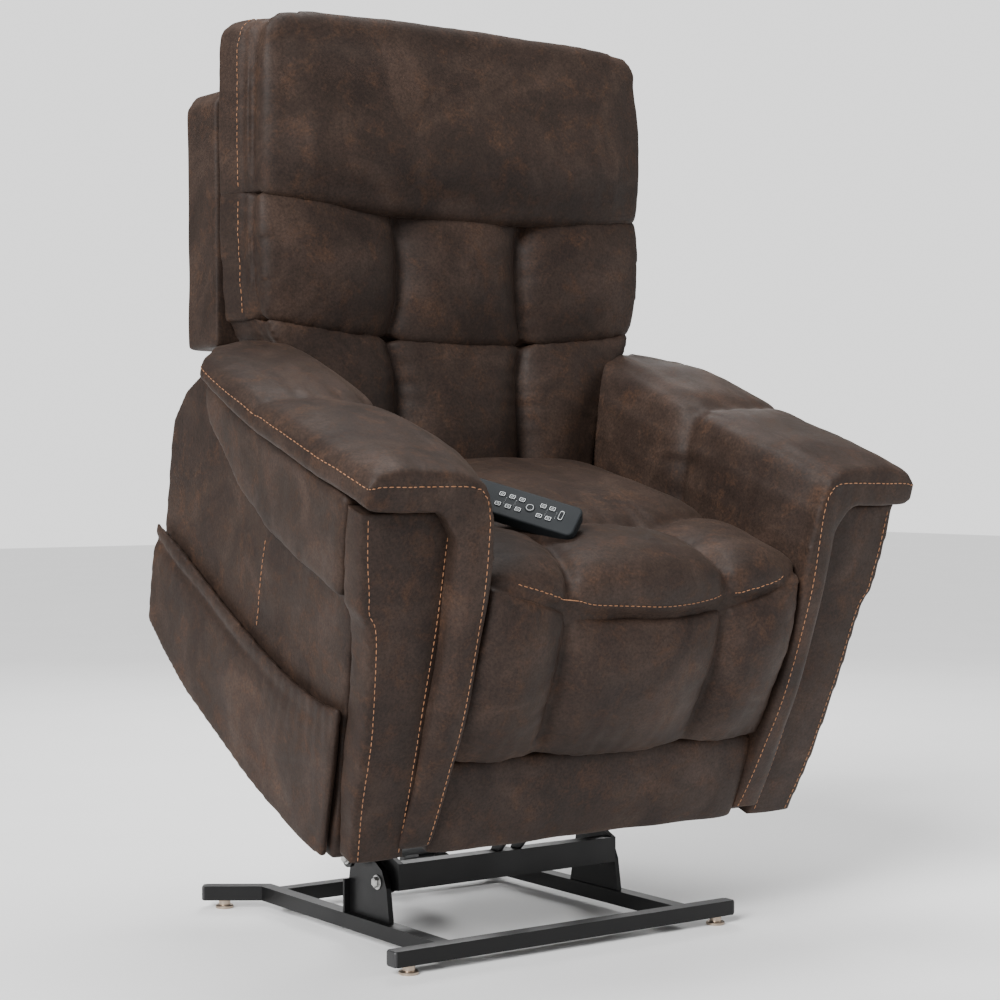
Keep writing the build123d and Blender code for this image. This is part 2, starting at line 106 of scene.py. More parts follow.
def suede(name, dark, middle, light, rust):
    """Distressed faux suede: cloudy brown, rust patches, fine nap and grain."""
    mat, node, join, shader = new_material(name)
    place = node("TexCoord").outputs["Object"]
    cloud = node("TexNoise", {"Vector": place, "Scale": 9.0, "Detail": 7.0, "Roughness": 0.62,
                              "Distortion": 0.8}).outputs["Fac"]
    patch = node("TexNoise", {"Vector": place, "Scale": 26.0, "Detail": 12.0, "Roughness": 0.78,
                              "Distortion": 0.5}).outputs["Fac"]
    nap = node("TexNoise", {"Vector": place, "Scale": 260.0, "Detail": 4.0,
                            "Roughness": 0.7}).outputs["Fac"]
    base = ramp(node, cloud, (0.36, dark), (0.52, middle), (0.68, light))
    wear = ramp(node, patch, (0.51, (0.0,)), (0.68, (1.0,)))
    soaked = node("Math", {0: wear, 1: nap}, operation="MULTIPLY").outputs[0]
    stain = node("Math", {0: soaked, 1: 0.85}, operation="MULTIPLY").outputs[0]
    stained = node("Mix", {"Factor": stain, "A": base, "B": (*rust, 1)}, data_type="RGBA")
    speck = ramp(node, nap, (0.32, (0.62,)), (0.68, (1.38,)))
    colour = node("Mix", {"Factor": 1.0, "A": stained.outputs["Result"], "B": speck},
                  data_type="RGBA", blend_type="MULTIPLY")
    join(colour.outputs["Result"], "Base Color")
    rough = ramp(node, patch, (0.35, (0.56,)), (0.70, (0.74,)))
    join(rough, "Roughness")
    shader.inputs["Specular IOR Level"].default_value = 0.20
    shader.inputs["Sheen Weight"].default_value = 0.03
    shader.inputs["Sheen Roughness"].default_value = 0.45
    shader.inputs["Sheen Tint"].default_value = (0.75, 0.55, 0.42, 1)
    pebble = node("TexVoronoi", {"Vector": place, "Scale": 620.0}).outputs["Distance"]
    fold = node("TexNoise", {"Vector": place, "Scale": 42.0, "Detail": 3.0}).outputs["Fac"]
    first = node("Bump", {"Strength": 0.22, "Distance": 0.0012, "Height": fold})
    second = node("Bump", {"Strength": 0.35, "Distance": 0.0004, "Height": nap,
                           "Normal": first.outputs["Normal"]})
    third = node("Bump", {"Strength": 0.18, "Distance": 0.0003, "Height": pebble,
                          "Normal": second.outputs["Normal"]})
    join(third.outputs["Normal"], "Normal")
    return mat


def plain(name, colour, rough, metal=0.0, specular=0.5, grain=300.0, bump=0.1, vary=0.12):
    """Metal, plastic, rubber or thread with a little unevenness in colour and gloss."""
    mat, node, join, shader = new_material(name)
    place = node("TexCoord").outputs["Object"]
    fine = node("TexNoise", {"Vector": place, "Scale": grain, "Detail": 3.0}).outputs["Fac"]
    broad = node("TexNoise", {"Vector": place, "Scale": 14.0, "Detail": 5.0}).outputs["Fac"]
    low = tuple(c * (1 - vary) for c in colour)
    high = tuple(c * (1 + vary) for c in colour)
    join(ramp(node, broad, (0.35, low), (0.65, high)), "Base Color")
    join(ramp(node, broad, (0.30, (rough * 0.85,)), (0.70, (rough * 1.15,))), "Roughness")
    shader.inputs["Metallic"].default_value = metal
    shader.inputs["Specular IOR Level"].default_value = specular
    join(node("Bump", {"Strength": bump, "Distance": 0.0003, "Height": fine}).outputs["Normal"],
         "Normal")
    return mat


def ply(name):
    """Plywood with long grain."""
    mat, node, join, shader = new_material(name)
    place = node("TexCoord").outputs["Object"]
    long = node("Mapping", {"Vector": place, "Scale": (4.0, 40.0, 60.0)}).outputs["Vector"]
    grain = node("TexNoise", {"Vector": long, "Scale": 3.0, "Detail": 8.0}).outputs["Fac"]
    join(ramp(node, grain, (0.35, (0.30, 0.19, 0.10)), (0.65, (0.52, 0.37, 0.22))), "Base Color")
    shader.inputs["Roughness"].default_value = 0.6
    join(node("Bump", {"Strength": 0.2, "Distance": 0.0005, "Height": grain}).outputs["Normal"],
         "Normal")
    return mat


def cloth(name, colour):
    """Woven lining: two crossed waves of thread."""
    mat, node, join, shader = new_material(name)
    place = node("TexCoord").outputs["Object"]
    waves = [
        node("TexWave", {"Vector": place, "Scale": 260.0, "Distortion": 0.6},
             bands_direction=axis).outputs["Fac"]
        for axis in ("X", "Z")
    ]
    weave = node("Math", {0: waves[0], 1: waves[1]}, operation="MULTIPLY").outputs[0]
    low = tuple(c * 0.6 for c in colour)
    join(ramp(node, weave, (0.1, low), (0.8, colour)), "Base Color")
    shader.inputs["Roughness"].default_value = 0.9
    join(node("Bump", {"Strength": 0.4, "Distance": 0.0004, "Height": weave}).outputs["Normal"],
         "Normal")
    return mat


HIDE = suede("brown_suede", (0.0155, 0.0090, 0.0066), (0.0235, 0.0140, 0.0101),
             (0.0385, 0.0232, 0.0168), (0.067, 0.031, 0.0155))
LINING = cloth("black_lining", (0.03, 0.027, 0.025))
THREAD = plain("tan_thread", (0.26, 0.118, 0.052), 0.6, grain=900.0, bump=0.5)
BLACK_STEEL = plain("black_powder_coat", (0.0030, 0.0030, 0.0032), 0.38, specular=0.28, grain=520.0,
                    bump=0.16)
ZINC = plain("zinc_plate", (0.46, 0.46, 0.45), 0.32, metal=1.0, grain=200.0, bump=0.08)
BRONZE = plain("bronze_plate", (0.42, 0.34, 0.27), 0.30, metal=1.0, bump=0.08)
MOTOR_PLASTIC = plain("black_plastic", (0.020, 0.020, 0.021), 0.48, grain=450.0, bump=0.15)
HANDSET_PLASTIC = plain("charcoal_plastic", (0.0105, 0.0125, 0.0142), 0.62, specular=0.22, grain=900.0,
                        bump=0.2)
KEY_RUBBER = plain("dark_rubber", (0.0085, 0.0100, 0.0112), 0.7, specular=0.2, grain=900.0, bump=0.15)
MARKING = plain("pale_marking", (0.62, 0.64, 0.65), 0.5, grain=900.0, bump=0.05, vary=0.04)
PLYWOOD = ply("plywood")

MATERIAL_OF_SLOT = {
    "upholstery": HIDE,
    "lining": LINING,
    "black_steel": BLACK_STEEL,
    "zinc_steel": ZINC,
    "foot_metal": BRONZE,
    "motor_plastic": MOTOR_PLASTIC,
    "handset_plastic": HANDSET_PLASTIC,
    "key_rubber": KEY_RUBBER,
    "board": PLYWOOD,
}
for part in frame["record"]["subparts"]:
    node_object = frame["nodes"][part["node"]]
    node_object.data.materials.clear()
    node_object.data.materials.append(MATERIAL_OF_SLOT[part["material_slot"]])


# ---------------------------------------------------------------- lines and solids
SPAN_SAMPLES = 12
SEAM_STEP = 0.02


def lengths(line):
    """How far along a line each of its points is."""
    return np.r_[0, np.cumsum(np.linalg.norm(np.diff(line, axis=0), axis=1))]


def path(points, step=SEAM_STEP):
    """A smooth line through the points, sampled evenly."""
    p = np.array(points, float)
    q = np.vstack([2 * p[0] - p[1], p, 2 * p[-1] - p[-2]])
    t = np.linspace(0, 1, SPAN_SAMPLES, endpoint=False)[:, None]
    runs = [
        0.5 * (2 * b + (c - a) * t + (2 * a - 5 * b + 4 * c - d) * t**2 + (3 * b - a - 3 * c + d) * t**3)
        for a, b, c, d in zip(q[:-3], q[1:-2], q[2:-1], q[3:])
    ]
    line = np.vstack(runs + [q[-2:-1]])
    reach = lengths(line)
    stops = np.linspace(0, reach[-1], max(int(reach[-1] / step), 2) + 1)
    return np.stack([np.interp(stops, reach, line[:, k]) for k in (X, Y, Z)], 1)


def near(points, line):
    """Each point's distance to a line, and how far along the line that is."""
    best = np.full(len(points), np.inf)
    along = np.zeros(len(points))
    run = 0.0
    for a, b in zip(line[:-1], line[1:]):
        ab = b - a
        length = np.linalg.norm(ab)
        t = np.clip((points - a) @ ab / length**2, 0, 1)
        gap = np.linalg.norm(points - a - t[:, None] * ab, axis=1)
        closer = gap < best
        best[closer] = gap[closer]
        along[closer] = run + t[closer] * length
        run += length
    return best, along


def read(table, value):
    """A value's partner in a table of pairs, with straight lines between the pairs."""
    return np.interp(value, *np.array(table).T)


def fade(value, start, length):
    """Rises from 0 at the start to 1 a length further on. A negative length goes down the scale."""
    return np.clip((value - start) / length, 0, 1)


def pair(points):
    """A line's mirror image, and the line."""
    return [[(s * x, y, z) for x, y, z in points] for s in (-1, 1)]


def flip(line, mirror):
    return np.array(line) * ((-1, 1, 1) if mirror else (1, 1, 1))


ORDER = {"x": (2, 0, 1), "v": (0, 2, 1)}


def prism(axis, outline, low, high):
    """A straight solid along x or v from its outline in the other two."""
    n = len(outline)
    flat = [(a, b, low) for a, b in outline] + [(a, b, high) for a, b in outline]
    verts = [tuple(p[i] for i in ORDER[axis]) for p in flat]
    faces = [list(range(n)), [n + i for i in range(n)]]
    faces += [[i, (i + 1) % n, n + (i + 1) % n, n + i] for i in range(n)]
    return verts, faces


def ring_faces(rings, sides, base=0):
    """The faces of a closed tube whose rings of vertices follow each other."""
    faces = []
    for ring in range(rings - 1):
        for i in range(sides):
            a = base + ring * sides + i
            b = base + ring * sides + (i + 1) % sides
            faces.append((a, b, b + sides, a + sides))
    faces.append(tuple(base + i for i in reversed(range(sides))))
    faces.append(tuple(base + (rings - 1) * sides + i for i in range(sides)))
    return faces


def add_mesh(name, verts, faces):
    mesh = bpy.data.meshes.new(name)
    mesh.from_pydata([tuple(v) for v in verts], [], [tuple(f) for f in faces])
    mesh.validate()
    piece = bpy.data.objects.new(name, mesh)
    bpy.context.scene.collection.objects.link(piece)
    return piece


def dress(piece, mat, body):
    """Gives a piece its material, and attaches it to the empty of the body it belongs to."""
    piece.data.materials.append(mat)
    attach(piece, body)


def shade_smooth(piece):
    for polygon in piece.data.polygons:
        polygon.use_smooth = True


def apply(piece, kind, **settings):
    """Adds a modifier and keeps its result."""
    modifier = piece.modifiers.new(kind, kind)
    for key, value in settings.items():
        setattr(modifier, key, value)
    bpy.context.view_layer.update()
    shown = piece.evaluated_get(bpy.context.evaluated_depsgraph_get())
    mesh = bpy.data.meshes.new_from_object(shown)
    old = piece.data
    piece.modifiers.clear()
    piece.data = mesh
    bpy.data.meshes.remove(old)


def recalc(piece):
    """Turns every face outwards."""
    bm = bmesh.new()
    bm.from_mesh(piece.data)
    bmesh.ops.recalc_face_normals(bm, faces=bm.faces)
    bm.to_mesh(piece.data)
    bm.free()


# ---------------------------------------------------------------- padded covers
COARSE_VOXEL = 0.006
FINE_VOXEL = 0.005
# How sharply a cover turns at a seam, and how sharply it sinks into a crease.
PUFF_POWER = 0.95
CREASE_POWER = 1.3
# A wave starts anywhere in about a full turn. A sum of waves is divided down to about unit height.
PHASES = 6.3
WAVE_SCALE = 3
# Puckers run across a seam, at a slant. They begin a little way from it and fade out further off.
PUCKERS = 5
PUCKERS_PER_METRE = (14, 46)
PUCKER_SLANT = 25
PUCKER_RISE = 0.008
PUCKER_FADE = 0.035
RIPPLES = 9
RIPPLES_PER_METRE = (4.0, 11.0)


class Soft:
    """A padded form: joined solids, rounded, then moved by seams and folds."""

    def __init__(self, name, solids, smooth, voxel=COARSE_VOXEL):
        verts, faces = [], []
        for more_verts, more_faces in solids:
            start = len(verts)
            verts += more_verts
            faces += [[i + start for i in face] for face in more_faces]
        self.piece = add_mesh(name, verts, faces)
        recalc(self.piece)
        apply(self.piece, "REMESH", mode="VOXEL", voxel_size=voxel)
        apply(self.piece, "SMOOTH", factor=0.5, iterations=smooth)

    @property
    def co(self):
        flat = np.empty(len(self.piece.data.vertices) * 3)
        self.piece.data.vertices.foreach_get("co", flat)
        return flat.reshape(-1, 3)

    @co.setter
    def co(self, value):
        self.piece.data.vertices.foreach_set("co", np.ascontiguousarray(value).ravel())
        self.piece.data.update()

    @property
    def normal(self):
        flat = np.empty(len(self.piece.data.vertices) * 3)
        self.piece.data.vertex_normals.foreach_get("vector", flat)
        return flat.reshape(-1, 3)

    def move(self, amount):
        self.co = self.co + self.normal * np.asarray(amount)[:, None]

    def puff(self, lines, height, reach, where):
        """Swells the cover between its seams."""
        co = self.co
        rise = np.full(len(co), height)
        for line in lines:
            rise *= 1 - np.exp(-((near(co, line)[0] / reach) ** PUFF_POWER))
        rise *= where(co, self.normal)
        self.move(rise)

    def crease(self, line, depth, width, puckers=0.0, seed=0):
        """Pulls the cover in along a line, with small puckers across it."""
        gap, along = near(self.co, line)
        sink = depth * np.exp(-((gap / width) ** CREASE_POWER))
        if puckers:
            rng = np.random.default_rng(seed)
            wave = sum(
                np.sin(along * k * 2 * math.pi + rng.uniform(0, PHASES)
                       + gap * rng.uniform(-PUCKER_SLANT, PUCKER_SLANT))
                for k in rng.uniform(*PUCKERS_PER_METRE, PUCKERS)
            )
            sink += (puckers * wave / WAVE_SCALE * np.exp(-gap / PUCKER_FADE)
                     * (1 - np.exp(-gap / PUCKER_RISE)))
        self.move(-sink)

    def ripple(self, size, seed):
        """Uneven filling: slow waves over the whole cover."""
        rng = np.random.default_rng(seed)
        co = self.co
        wave = np.zeros(len(co))
        for _ in range(RIPPLES):
            way = rng.normal(size=3)
            way *= rng.uniform(*RIPPLES_PER_METRE) / np.linalg.norm(way)
            wave += np.sin(co @ way * 2 * math.pi + rng.uniform(0, PHASES))
        self.move(size * wave / WAVE_SCALE)

    def finish(self, place, body, nodes, fill, mirror=False):
        if mirror:
            self.co = self.co * (-1, 1, 1)
            self.piece.data.flip_normals()
        self.co = place(self.co)
        apply(self.piece, "SUBSURF", levels=1, render_levels=1)
        shade_smooth(self.piece)
        self.piece.data.materials.clear()
        dress(self.piece, HIDE, body)
        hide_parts(*nodes)
        return self.piece


def facing(normal, axis, gain, start=0.0):
    """Where a cover faces along an axis. A negative gain faces the other way."""
    return np.clip(normal[:, axis] * gain + start, 0, 1)


def front_only(co, normal):
    return facing(normal, Y, -1.5)


def rear_only(co, normal):
    return facing(normal, Y, 1.5)


def outward(co, normal):
    return facing(normal, X, 1.4)


# ---------------------------------------------------------------- stitching
STITCH = 0.0062
STITCH_GAP = 0.0030
STITCH_SAMPLE = 0.0012
THREAD_RADIUS = 0.00075
THREAD_LIFT = 0.0003
THREAD_FLATNESS = 0.8
THREAD_SIDES = 6
# Along a stitch, and its thickness there.
STITCH_RINGS = ((0.0, 0.35), (0.16, 0.85), (0.5, 1.0), (0.84, 0.85), (1.0, 0.35))


def surface(piece):
    """A search tree over a finished cover, for laying thread on it."""
    verts = [v.co.copy() for v in piece.data.vertices]
    faces = [list(polygon.vertices) for polygon in piece.data.polygons]
    return BVHTree.FromPolygons(verts, faces)


def stitches(name, cover, lines, body):
    """Rows of short thread dashes lying on a cover."""
    tree = surface(cover)
    verts, faces = [], []
    for line in lines:
        fine = path(line, STITCH_SAMPLE)
        reach = lengths(fine)
        start = STITCH_GAP
        while start + STITCH < reach[-1]:
            spine, ups = [], []
            for share, _ in STITCH_RINGS:
                stop = start + STITCH * share
                spot = Vector([np.interp(stop, reach, fine[:, k]) for k in (X, Y, Z)])
                hit, up, _, _ = tree.find_nearest(spot)
                spine.append(hit + up * THREAD_LIFT)
                ups.append(up)
            base = len(verts)
            along = (spine[-1] - spine[0]).normalized()
            for centre, up, (_, size) in zip(spine, ups, STITCH_RINGS):
                across = along.cross(up).normalized()
                for i in range(THREAD_SIDES):
                    angle = 2 * math.pi * i / THREAD_SIDES
                    verts.append(centre + across * math.cos(angle) * THREAD_RADIUS * size
                                 + up * math.sin(angle) * THREAD_RADIUS * THREAD_FLATNESS * size)
            faces += ring_faces(len(STITCH_RINGS), THREAD_SIDES, base)
            start += STITCH + STITCH_GAP
    piece = add_mesh(name, verts, faces)
    shade_smooth(piece)
    dress(piece, THREAD, body)


# ---------------------------------------------------------------- the back
CUSHION_REAR = 0.377
SEAM_Y = 0.324
SEAM_LAP = 0.004
CROWN_REAR = 0.33
# A cross channel between cushions: its height at the sides, in the middle, and its half width.
HEAD_CHANNEL = (1.083, 1.067, 0.369)
UPPER_CHANNEL = (1.083, 1.067, 0.368)
LOWER_CHANNEL = (0.903, 0.872, 0.356)
CHANNEL_LAP = 0.003
CHANNEL_POINTS = 9
HEAD_OUT = [(0.369, 1.296), (0.364, 1.322), (0.345, 1.337), (0.300, 1.341), (0.15, 1.343)]
HEAD_FOLD = [(-0.36, 0.29, 1.296), (-0.2, 0.27, 1.302), (0.1, 0.268, 1.300), (0.36, 0.29, 1.294)]


def channel_line(channel, shift):
    """A cross channel's outline, which hangs lower in the middle, moved up by a shift."""
    side, middle, half = channel
    return [(x, side + (middle - side) * (1 - (abs(x) / half) ** 2) + shift)
            for x in np.linspace(-half, half, CHANNEL_POINTS)]


def border(low, right, high, y):
    """The four edges of a cushion, each a line of its own. low runs left to right, high back again."""
    left = [(-x, z) for x, z in reversed(right)]
    sides = (low, [low[-1]] + right + [high[0]], high, [high[-1]] + left + [low[0]])
    return [path([(x, y, z) for x, z in side]) for side in sides]


def narrowed(co):
    """The back cushions are narrower at the front face than behind."""
    narrowing, start, depth, limit = 0.060, 0.372, 0.085, 1.15
    co = co.copy()
    co[:, X] *= 1 - narrowing * np.clip((start - co[:, Y]) / depth, 0, limit)
    return co


def back_soft(name, outline, crown, front, smooth):
    """A back cushion before it is padded: its border, and a smaller crown in front of the seam."""
    return Soft(name, [prism("v", outline, SEAM_Y - SEAM_LAP, CUSHION_REAR),
                       prism("v", crown, front, CROWN_REAR)], smooth, FINE_VOXEL)


def head_cushion():
    low = channel_line(HEAD_CHANNEL, -CHANNEL_LAP)
    top = HEAD_OUT + [(-x, z) for x, z in reversed(HEAD_OUT)]
    middle = 1.20
    crown = [(x * 0.975, middle + (z - middle) * 0.965) for x, z in low + top]
    soft = back_soft("head_cushion_cover", low + top, crown, front=0.292, smooth=9)
    edges = border(low, [], top, SEAM_Y)
    soft.puff(edges, height=0.047, reach=0.042, where=front_only)
    co = soft.co
    droop_size, droop_z, droop_spread = 0.014, 1.140, 0.050
    droop = front_only(co, soft.normal) * np.exp(-(((co[:, Z] - droop_z) / droop_spread) ** 2))
    soft.move(droop_size * droop * fade(abs(co[:, X]), 0.355, -0.06))
    for number, edge in enumerate(edges):
        soft.crease(edge, depth=0.003, width=0.005, puckers=0.0014, seed=3 + number)
    soft.crease(path(HEAD_FOLD), depth=0.0035, width=0.030)
    soft.ripple(0.0011, seed=4)
    soft.co = narrowed(soft.co)
    return soft.finish(ground, "headrest", ["head_cushion"], fill=0.85)


def pillow_row(name, low, high, right, column, node, body, seed):
    """Three pillows side by side between two cross channels."""
    high = high[::-1]
    left = [(-x, z) for x, z in reversed(right)]
    outline = low + right + high + left
    middle = np.mean([z for _, z in low + high])
    crown = [(x * 0.98, middle + (z - middle) * 0.93) for x, z in outline]
    soft = back_soft(name, outline, crown, front=0.298, smooth=8)
    edges = border(low, right, high, SEAM_Y)
    seams = [path(line) for line in pair(column)]
    soft.puff(edges + seams, height=0.046, reach=0.034, where=front_only)
    for number, seam in enumerate(seams):
        soft.crease(seam, depth=0.007, width=0.006, puckers=0.0013, seed=seed + number)
    for number, edge in enumerate(edges):
        soft.crease(edge, depth=0.002, width=0.006, puckers=0.0015, seed=seed + 7 + number)
    soft.ripple(0.0012, seed + 12)
    soft.co = narrowed(soft.co)
    return soft.finish(ground, body, [node], fill=0.8)


def middle_cushion():
    column = [(0.126, 0.300, 1.068), (0.116, 0.294, 1.010), (0.118, 0.294, 0.940), (0.130, 0.300, 0.882)]
    return pillow_row("back_cushion_cover", channel_line(LOWER_CHANNEL, -CHANNEL_LAP),
                      channel_line(UPPER_CHANNEL, CHANNEL_LAP), [(0.363, 0.96), (0.368, 1.03)],
                      column, "back_cushion", "back", seed=20)


def lumbar_cushion():
    column = [(0.130, 0.300, 0.868), (0.118, 0.294, 0.820), (0.120, 0.294, 0.740), (0.128, 0.300, 0.640)]
    low = [(x, 0.612) for x in np.linspace(-0.262, 0.262, 5)]
    right = [(0.268, 0.70), (0.280, 0.76), (0.297, 0.822), (0.340, 0.878)]
    pillow_row("lumbar_cushion_cover", low, channel_line(LOWER_CHANNEL, CHANNEL_LAP), right, column,
               "lumbar_cushion", "lumbar", seed=40)


def rear_shell():
    """The tee-shaped cover of the back's rear. Its front face hides the board inside it."""
    front = 0.382
    wide = [(-0.368, 0.860), (0.368, 0.860), (0.370, 1.218), (0.352, 1.241), (-0.352, 1.241),
            (-0.370, 1.218)]
    narrow = [(-0.262, 0.600), (0.262, 0.600), (0.264, 0.90), (-0.264, 0.90)]
    soft = Soft("back_shell_cover", [prism("v", wide, front, 0.470), prism("v", narrow, front, 0.466)],
                smooth=5)
    edge = [(-0.35, 0.875), (-0.352, 1.20), (-0.335, 1.224), (0.335, 1.224), (0.352, 1.20),
            (0.35, 0.875), (-0.35, 0.875)]
    soft.puff([path([(x, 0.474, z) for x, z in edge])], height=0.007, reach=0.05, where=rear_only)
    soft.crease(path([(-0.262, 0.47, 0.868), (0, 0.472, 0.868), (0.262, 0.47, 0.868)]),
                depth=0.003, width=0.006, puckers=0.001, seed=61)
    soft.ripple(0.0008, seed=62)
    return soft.finish(ground, "back", ["back_shell"], fill=0.9)


def back_threads(head, middle, shell):
    """Topstitching along the sides of the upper cushions, over the head cushion and round the shell."""
    side_x, y = 0.366, 0.331
    head_corner = [(0.362, 1.300), (0.346, 1.332)] + [(x, 1.346) for x in (0.31, 0.25, 0.15, 0.05, 0.0)]
    head_line = [(side_x, z) for z in np.linspace(1.088, 1.322, 7)[:-1]] + head_corner
    middle_line = [(side_x, z) for z in np.linspace(0.905, 1.079, 7)]
    for name, cover, line, body in (("head_thread", head, head_line, "headrest"),
                                    ("back_thread", middle, middle_line, "back")):
        stitches(name, cover, [ground(one) for one in pair([(x, y, z) for x, z in line])], body)
    half, rear_y = 0.345, 0.49
    rear = [(-1, 0.90), (-1, 1.05), (-1, 1.20), (-0.95, 1.222), (0, 1.226), (0.95, 1.222), (1, 1.20),
            (1, 1.05), (1, 0.90)]
    stitches("shell_thread", shell, [ground([(s * half, rear_y, z) for s, z in rear])], "back")


def build_back():
    head = head_cushion()
    middle = middle_cushion()
    lumbar_cushion()
    back_threads(head, middle, rear_shell())


# ---------------------------------------------------------------- seat and footrest
WELT = [(-0.268, 0.026, 0.563), (-0.235, 0.018, 0.556), (-0.203, 0.014, 0.545), (-0.137, 0.010, 0.524),
        (-0.078, 0.008, 0.515), (0.0, 0.008, 0.511), (0.078, 0.008, 0.515), (0.137, 0.010, 0.522),
        (0.221, 0.014, 0.542), (0.245, 0.018, 0.556), (0.268, 0.026, 0.563)]
SEAT_LEFT = [(-0.150, 0.215, 0.578), (-0.132, 0.162, 0.584), (-0.124, 0.110, 0.587), (-0.135, 0.050, 0.580),
             (-0.142, 0.012, 0.555), (-0.140, 0.004, 0.528)]
SEAT_RIGHT = [(0.100, 0.190, 0.578), (0.122, 0.140, 0.584), (0.126, 0.075, 0.586), (0.130, 0.030, 0.574),
              (0.134, 0.008, 0.552), (0.136, 0.004, 0.526)]
SEAT_ROLL = [(-0.262, 0.222, 0.576), (-0.205, 0.228, 0.578), (-0.150, 0.214, 0.579), (-0.03, 0.196, 0.579),
             (0.06, 0.192, 0.579), (0.130, 0.185, 0.579), (0.200, 0.212, 0.577), (0.262, 0.225, 0.574)]
SEAT_SIDE = [(0.268, 0.03, 0.53), (0.268, 0.06, 0.555), (0.268, 0.30, 0.55), (0.268, 0.49, 0.52)]
SEAT_HALF = 0.267
PAD_CHANNEL = [(0.135, 0.010, 0.530), (0.137, 0.006, 0.46), (0.135, 0.010, 0.38), (0.128, 0.016, 0.305)]


def welt_height(x):
    return read([(x_welt, w) for x_welt, _, w in WELT], x)


def seat_top(co, normal):
    """The seat's top and its rounded front, above the lower edge."""
    return facing(normal, Z, 1.5, 0.9) * fade(co[:, W], 0.49, 0.03)


def seat_cushion():
    outline = [(0.030, 0.475), (0.016, 0.520), (0.012, 0.545), (0.024, 0.566), (0.055, 0.573),
               (0.17, 0.569), (0.30, 0.560), (0.49, 0.535), (0.495, 0.46), (0.485, 0.415),
               (0.14, 0.415), (0.135, 0.475)]
    soft = Soft("seat_cushion_cover", [prism("x", outline, -SEAT_HALF, SEAT_HALF)], smooth=8, voxel=0.0058)
    co = soft.co
    roll_w, drop_share = 0.540, 0.85
    drop = (roll_w - welt_height(co[:, X])) * drop_share
    co[:, W] -= fade(co[:, V], 0.10, -0.07) * fade(co[:, W], 0.560, -0.035) * drop
    soft.co = co
    ahead = 0.006
    welt = path([(x, v - ahead, w) for x, v, w in WELT])
    seams = [path(SEAT_LEFT), path(SEAT_RIGHT)]
    roll = path(SEAT_ROLL)
    sides = [path(line) for line in pair(SEAT_SIDE)]
    soft.puff([welt] + seams + [roll] + sides, height=0.034, reach=0.036, where=seat_top)
    for number, seam in enumerate(seams):
        soft.crease(seam, depth=0.012, width=0.007, puckers=0.0022, seed=81 + number)
    soft.crease(roll, depth=0.007, width=0.008, puckers=0.0020, seed=83)
    soft.crease(path(WELT), depth=0.006, width=0.006)
    soft.ripple(0.0013, seed=84)
    return soft.finish(seat, "seat_frame", ["seat_cushion"], fill=0.8)


def upper_pad():
    under_welt = 0.002
    top = [(x, welt_height(x) - under_welt) for x in np.linspace(-0.270, 0.270, 17)]
    low = [(0.270, 0.310), (0.20, 0.306), (0.128, 0.310), (0.06, 0.304), (-0.06, 0.304), (-0.128, 0.310),
           (-0.20, 0.304), (-0.270, 0.310)]
    right, left = (0.278, 0.44), (-0.278, 0.44)
    soft = Soft("footrest_upper_cover", [prism("v", top + [right] + low + [left], 0.022, 0.071)],
                smooth=7, voxel=FINE_VOXEL)
    co = soft.co
    lean, front_face = 0.010, co[:, V] < 0.05
    co[:, V] -= lean * fade(co[:, W], 0.33, 0.15) * front_face
    soft.co = co
    seams = [path(line) for line in pair(PAD_CHANNEL)]
    edges = border(top, [right], low, 0.016)
    soft.puff(edges + seams, height=0.045, reach=0.036, where=front_only)
    for number, seam in enumerate(seams):
        soft.crease(seam, depth=0.008, width=0.006, puckers=0.0018, seed=91 + number)
    for number, (edge, depth) in enumerate(zip(edges, (0.005, 0.002, 0.002, 0.002))):
        soft.crease(edge, depth, width=0.006, puckers=0.0016, seed=94 + number)
    soft.ripple(0.0011, seed=95)
    soft.finish(seat, "footrest", ["footrest_upper_pad"], fill=0.8)


def lower_pad():
    low = [(-0.270, 0.166), (0.270, 0.166)]
    right = [(0.278, 0.230), (0.277, 0.292)]
    high = [(0.268, 0.300), (0.15, 0.302), (-0.15, 0.302), (-0.268, 0.300)]
    left = [(-x, z) for x, z in reversed(right)]
    soft = Soft("footrest_lower_cover", [prism("v", low + right + high + left, 0.032, 0.071)], smooth=5)
    soft.puff(border(low, right, high, 0.03), height=0.012, reach=0.022, where=front_only)
    soft.ripple(0.0010, seed=97)
    soft.finish(seat, "footrest", ["footrest_lower_pad"], fill=0.7)


def build_seat():
    cushion = seat_cushion()
    upper_pad()
    lower_pad()
    ahead, above = 0.022, 0.013
    line = [(x, v - ahead, w + above) for x, v, w in WELT[1:-1]]
    stitches("seat_thread", cushion, [seat(line)], "seat_frame")


# ---------------------------------------------------------------- arms
FLARE = 0.107
FLARE_LOST_AT_REAR = 0.75
HEM_W = 0.162
HEM = [(0.074, 0.150), (0.145, 0.146), (0.233, 0.151), (0.313, 0.163), (0.396, 0.178),
       (0.499, 0.196), (0.591, 0.224), (0.645, 0.250)]
WING = [(0.090, 0.520), (0.208, 0.520), (0.307, 0.523), (0.354, 0.533), (0.403, 0.543),
        (0.454, 0.560), (0.492, 0.577), (0.537, 0.599), (0.561, 0.628), (0.569, 0.650)]
MOUTH = [(0.668, 0.402), (0.606, 0.391), (0.535, 0.380), (0.450, 0.368), (0.369, 0.359),
         (0.293, 0.353), (0.220, 0.351), (0.165, 0.353), (0.114, 0.360), (0.078, 0.370)]
FRONT_OUT = [(0.391, 0.165), (0.406, 0.26), (0.414, 0.36), (0.428, 0.47), (0.436, 0.505),
             (0.448, 0.522), (0.452, 0.55), (0.459, 0.59), (0.465, 0.650)]
FRONT_IN = [(0.320, 0.650), (0.320, 0.42), (0.317, 0.32), (0.308, 0.20), (0.305, 0.165)]
FRONT_DEPTH = 0.034
PANEL_BOW = 0.55


